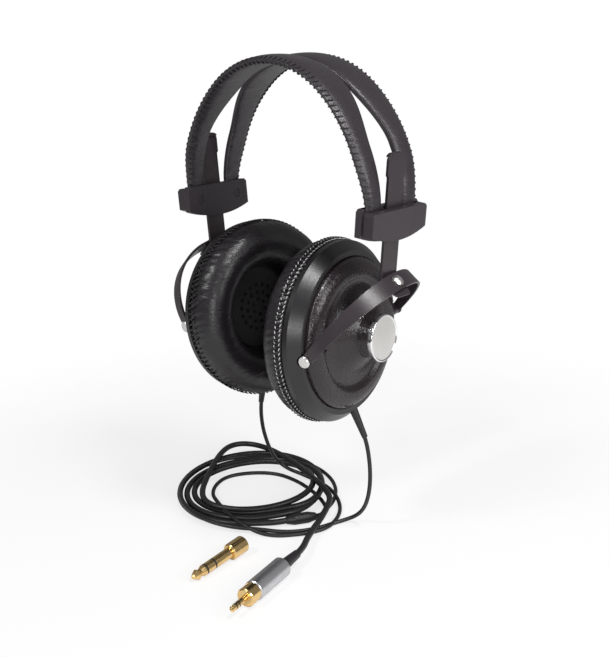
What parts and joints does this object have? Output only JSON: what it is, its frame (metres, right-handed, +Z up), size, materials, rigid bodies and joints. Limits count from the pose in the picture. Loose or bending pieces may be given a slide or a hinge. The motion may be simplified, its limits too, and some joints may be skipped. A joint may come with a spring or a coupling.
{
  "type": "stereo headphones",
  "caption": "Closed over-ear stereo headphones: padded split headband, sliding stems, tilting yokes, domed cups, soft ring cushions and a loosely coiled cable with plug and adapter.",
  "frame": {"origin": "middle of the underside of the headband's crown, where the wearer's head carries it", "axes": "+Z up, the wearer faces -Y, +X is the wearer's left"},
  "size_m": [0.1864, 0.1832, 0.2815],
  "materials": {
    "strap_leatherette": "satin leatherette",
    "spring_steel": "satin",
    "cable_jacket": "satin",
    "cable_rubber": "matte",
    "plug_silver": "satin",
    "plug_gold": "polished gold plate",
    "insulator": "matte",
    "block_plastic": "satin",
    "black_screw": "satin",
    "friction_felt": "felt",
    "black_steel": "satin black paint",
    "bright_screw": "satin nickel",
    "washer_nylon": "matte",
    "housing_paint": "hammered black paint",
    "ring_plastic": "satin",
    "cap_aluminium": "spun, polished rim",
    "driver_metal": "satin",
    "diaphragm_film": "film",
    "grille_plastic": "matte",
    "cushion_leatherette": "satin leatherette"
  },
  "bodies": {
    "headband": {"adapter_body": "plug_gold", "adapter_insulators": "insulator", "adapter_ring": "plug_gold", "adapter_tip": "plug_gold", "band_springs": "spring_steel", "block_inner_left": "block_plastic", "block_inner_right": "block_plastic", "block_outer_left": "block_plastic", "block_outer_right": "block_plastic", "block_screws_left": "black_screw", "block_screws_right": "black_screw", "cable_coil": "cable_jacket", "cable_tail": "cable_jacket", "lead_left": "cable_jacket", "lead_right": "cable_jacket", "plug_barrel": "plug_silver", "plug_boot": "cable_rubber", "plug_collar": "plug_gold", "plug_insulators": "insulator", "plug_ring": "plug_gold", "plug_sleeve": "plug_gold", "plug_tip": "plug_gold", "stem_shoe_left": "friction_felt", "stem_shoe_right": "friction_felt", "strap_front": "strap_leatherette", "strap_rear": "strap_leatherette", "y_splitter": "cable_rubber"},
    "stem_left": {"stem_left": "black_steel"},
    "yoke_left": {"yoke_left": "black_steel", "rivet_left": "bright_screw", "rivet_washer_left": "washer_nylon"},
    "cup_left": {"pivot_screws_left": "bright_screw", "housing_left": "housing_paint", "mounting_ring_left": "ring_plastic", "strain_relief_left": "cable_rubber", "cap_left": "cap_aluminium", "baffle_left": "ring_plastic", "driver_left": "driver_metal", "diaphragm_left": "diaphragm_film", "damping_felt_left": "friction_felt", "grille_left": "grille_plastic", "cushion_left": "cushion_leatherette"},
    "stem_right": {"stem_right": "black_steel"},
    "yoke_right": {"yoke_right": "black_steel", "rivet_right": "bright_screw", "rivet_washer_right": "washer_nylon"},
    "cup_right": {"pivot_screws_right": "bright_screw", "housing_right": "housing_paint", "mounting_ring_right": "ring_plastic", "strain_relief_right": "cable_rubber", "cap_right": "cap_aluminium", "baffle_right": "ring_plastic", "driver_right": "driver_metal", "diaphragm_right": "diaphragm_film", "damping_felt_right": "friction_felt", "grille_right": "grille_plastic", "cushion_right": "cushion_leatherette"}
  },
  "joints": [
    {"name": "stem_slide_left", "type": "slide", "parent": "headband", "child": "stem_left", "axis": [-0.0872, 0, -0.9962], "range_m": [-0.01, 0.022], "deforming": ["lead_left"]},
    {"name": "yoke_swivel_left", "type": "hinge", "parent": "stem_left", "child": "yoke_left", "pos_m": [0.07287, 0, -0.11297], "axis": [0.6587, 0, 0.7524], "range_deg": [-15.1, 0.1], "deforming": ["lead_left"]},
    {"name": "cup_tilt_left", "type": "hinge", "parent": "yoke_left", "child": "cup_left", "pos_m": [0.04238, 0, -0.14781], "axis": [0.0982, -0.9914, -0.086], "range_deg": [-9.1, 6.9], "deforming": ["lead_left"]},
    {"name": "stem_slide_right", "type": "slide", "parent": "headband", "child": "stem_right", "axis": [0.0872, 0, -0.9962], "range_m": [-0.0073, 0.0247], "deforming": ["lead_right"]},
    {"name": "yoke_swivel_right", "type": "hinge", "parent": "stem_right", "child": "yoke_right", "pos_m": [-0.07311, 0, -0.11028], "axis": [-0.6587, 0, 0.7524], "range_deg": [-0.1, 15.1], "deforming": ["lead_right"]},
    {"name": "cup_tilt_right", "type": "hinge", "parent": "yoke_right", "child": "cup_right", "pos_m": [-0.04261, 0, -0.14512], "axis": [0.0982, 0.9914, 0.086], "range_deg": [-2.6, 13.4], "deforming": ["lead_right"]}
  ]
}
